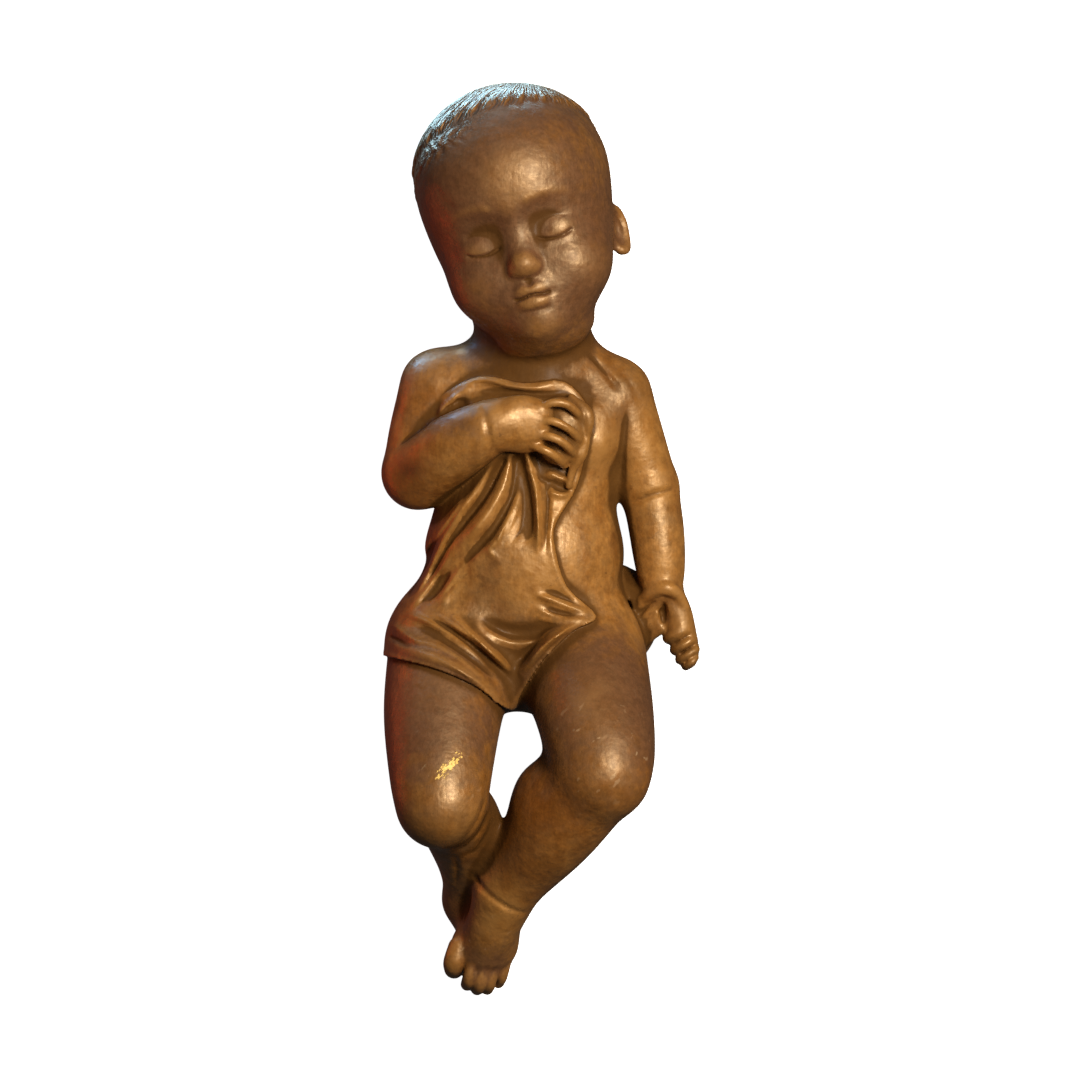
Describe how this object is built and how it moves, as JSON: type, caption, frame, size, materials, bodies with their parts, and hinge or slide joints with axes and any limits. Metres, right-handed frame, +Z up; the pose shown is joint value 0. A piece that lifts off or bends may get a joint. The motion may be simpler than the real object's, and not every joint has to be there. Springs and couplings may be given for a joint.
{
  "type": "carved wooden infant figure",
  "caption": "Carved wooden infant lying on its back, knees raised and feet crossed, one hand on the chest holding a cloth draped over chest and hips.",
  "frame": {"origin": "centre of the figure's bounding box, on the surface that the back and head rest on", "axes": "+Y from the feet toward the crown of the head, +Z up out of the chest and face, +X toward the figure's own left hand"},
  "size_m": [0.1572, 0.4492, 0.1146],
  "materials": {
    "carved_wood": "waxed, satin, darkened with age"
  },
  "bodies": {
    "root": {"infant_figure": "carved_wood"}
  },
  "joints": []
}
